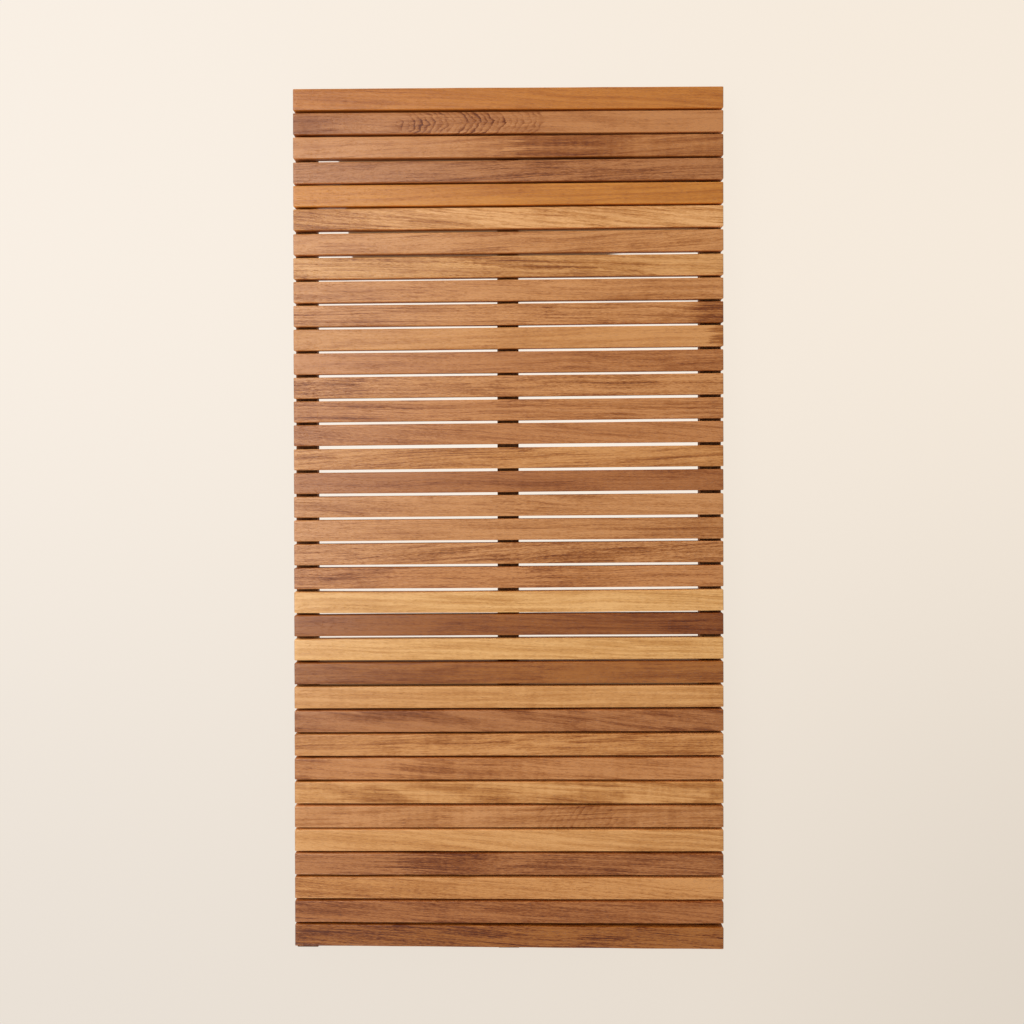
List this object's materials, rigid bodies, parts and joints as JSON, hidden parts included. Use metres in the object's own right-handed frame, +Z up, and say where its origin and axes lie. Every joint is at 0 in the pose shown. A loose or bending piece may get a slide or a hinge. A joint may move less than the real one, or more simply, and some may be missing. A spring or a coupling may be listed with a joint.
{
  "type": "slatted wooden bath mat",
  "caption": "Rectangular duckboard bath mat: narrow oiled teak slats screwed from below onto three lengthwise battens that stand on rubber feet.",
  "frame": {"origin": "on the floor, under the middle of the mat", "axes": "+X along the slats, +Y along the mat from the overhanging batten ends (-Y) to the flush end (+Y), +Z up"},
  "size_m": [0.4, 0.8066, 0.0278],
  "materials": {
    "slat": "oiled teak, satin, each slat its own shade from golden to dark reddish brown, grain along the slat",
    "batten": "oiled teak, matt, darker than the slats, grain along the batten",
    "foot": "matt black moulded rubber",
    "screw": "plain stainless steel, satin"
  },
  "bodies": {
    "root": {"slat_01": "slat", "slat_02": "slat", "slat_03": "slat", "slat_04": "slat", "slat_05": "slat", "slat_06": "slat", "slat_07": "slat", "slat_08": "slat", "slat_09": "slat", "slat_10": "slat", "slat_11": "slat", "slat_12": "slat", "slat_13": "slat", "slat_14": "slat", "slat_15": "slat", "slat_16": "slat", "slat_17": "slat", "slat_18": "slat", "slat_19": "slat", "slat_20": "slat", "slat_21": "slat", "slat_22": "slat", "slat_23": "slat", "slat_24": "slat", "slat_25": "slat", "slat_26": "slat", "slat_27": "slat", "slat_28": "slat", "slat_29": "slat", "slat_30": "slat", "slat_31": "slat", "slat_32": "slat", "slat_33": "slat", "slat_34": "slat", "slat_35": "slat", "slat_36": "slat", "batten_left": "batten", "batten_centre": "batten", "batten_right": "batten", "foot_left_far": "foot", "foot_left_middle": "foot", "foot_left_near": "foot", "foot_centre_far": "foot", "foot_centre_middle": "foot", "foot_centre_near": "foot", "foot_right_far": "foot", "foot_right_middle": "foot", "foot_right_near": "foot", "screw_left_01": "screw", "screw_left_12": "screw", "screw_left_25": "screw", "screw_left_36": "screw", "screw_centre_01": "screw", "screw_centre_12": "screw", "screw_centre_25": "screw", "screw_centre_36": "screw", "screw_right_01": "screw", "screw_right_12": "screw", "screw_right_25": "screw", "screw_right_36": "screw"}
  },
  "joints": []
}
